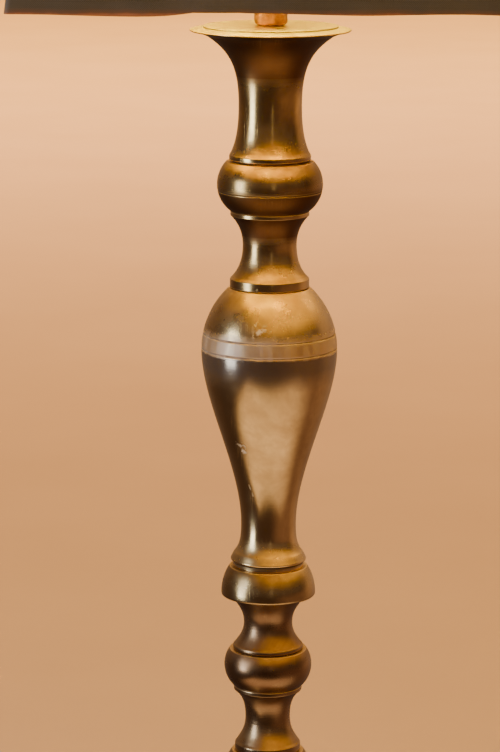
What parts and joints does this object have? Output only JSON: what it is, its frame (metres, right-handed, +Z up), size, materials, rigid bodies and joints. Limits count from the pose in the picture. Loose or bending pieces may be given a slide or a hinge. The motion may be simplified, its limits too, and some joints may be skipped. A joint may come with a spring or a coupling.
{
  "type": "standing lamp",
  "caption": "Standing lamp with a turned brass baluster column, drip-pan cup, screw-in bulb and a square tapering dark fabric shade that can be turned.",
  "frame": {"origin": "on the table, at the middle of the foot's underside", "axes": "+Z up the column, +Y to the back where the cord leaves the foot, -Y the front"},
  "size_m": [0.3292, 0.3292, 0.906],
  "materials": {
    "felt": "short green felt",
    "aged_brass": "turned and polished, darkened by age",
    "iron": "rough, painted black",
    "black_plastic": "moulded",
    "steel": "zinc plated",
    "plate_brass": "brighter than the column, brushed in rings",
    "copper_brass": "coppery, rough",
    "holder_brass": "pressed sheet",
    "porcelain": "glazed porcelain",
    "solder": "domed solder",
    "black_glass": "black glass insulator",
    "nickel": "nickel-plated rolled sheet",
    "bulb_glass": "clear, faintly warm",
    "clear_glass": "clear",
    "tungsten": "glowing wire",
    "frame_wire": "brown lacquered wire",
    "lining": "cream laminate",
    "shade_fabric": "dark woven cloth",
    "binding_tape": "folded cloth tape"
  },
  "bodies": {
    "column": {"felt_pad": "felt", "foot": "aged_brass", "ballast": "iron", "cord_bushing": "black_plastic", "bottom_washer": "steel", "bottom_nut": "steel", "threaded_rod": "steel", "lower_knop": "aged_brass", "lower_neck": "aged_brass", "middle_knop": "aged_brass", "middle_neck": "aged_brass", "bell_collar": "aged_brass", "vase": "aged_brass", "upper_neck": "aged_brass", "upper_knop": "aged_brass", "cup": "aged_brass", "cover_plate": "plate_brass", "lock_nut": "copper_brass", "holder_cap": "holder_brass", "holder_insulator": "porcelain", "holder_screws": "steel", "centre_contact": "holder_brass", "screw_shell": "holder_brass", "holder_body": "holder_brass", "shade_nut": "holder_brass"},
    "bulb_carrier": {"bulb_tip": "solder"},
    "bulb": {"bulb_insulator": "black_glass", "bulb_cap": "nickel", "bulb_glass": "bulb_glass", "bulb_stem": "clear_glass", "filament_posts": "steel", "filament": "tungsten"},
    "shade": {"spider_ring": "frame_wire", "spider_arms": "frame_wire", "bottom_frame": "frame_wire", "uprights": "frame_wire", "top_frame": "frame_wire", "shade_lining": "lining", "shade_cover": "shade_fabric", "bottom_binding": "binding_tape", "top_binding": "binding_tape"}
  },
  "joints": [
    {"name": "bulb_lift", "type": "slide", "parent": "column", "child": "bulb_carrier", "axis": [0, 0, 1], "range_m": [0, 0.0111]},
    {"name": "bulb_turn", "type": "hinge", "parent": "bulb_carrier", "child": "bulb", "pos_m": [0, 0, 0.7], "axis": [0, 0, 1], "range_deg": [0, 1090]},
    {"name": "shade_turn", "type": "hinge", "parent": "column", "child": "shade", "pos_m": [0, 0, 0.70805], "axis": [0, 0, 1], "continuous": true}
  ],
  "couplings": [
    {"joint": "bulb_lift", "follows": "bulb_turn", "m_per_rad": 0.00057773}
  ]
}
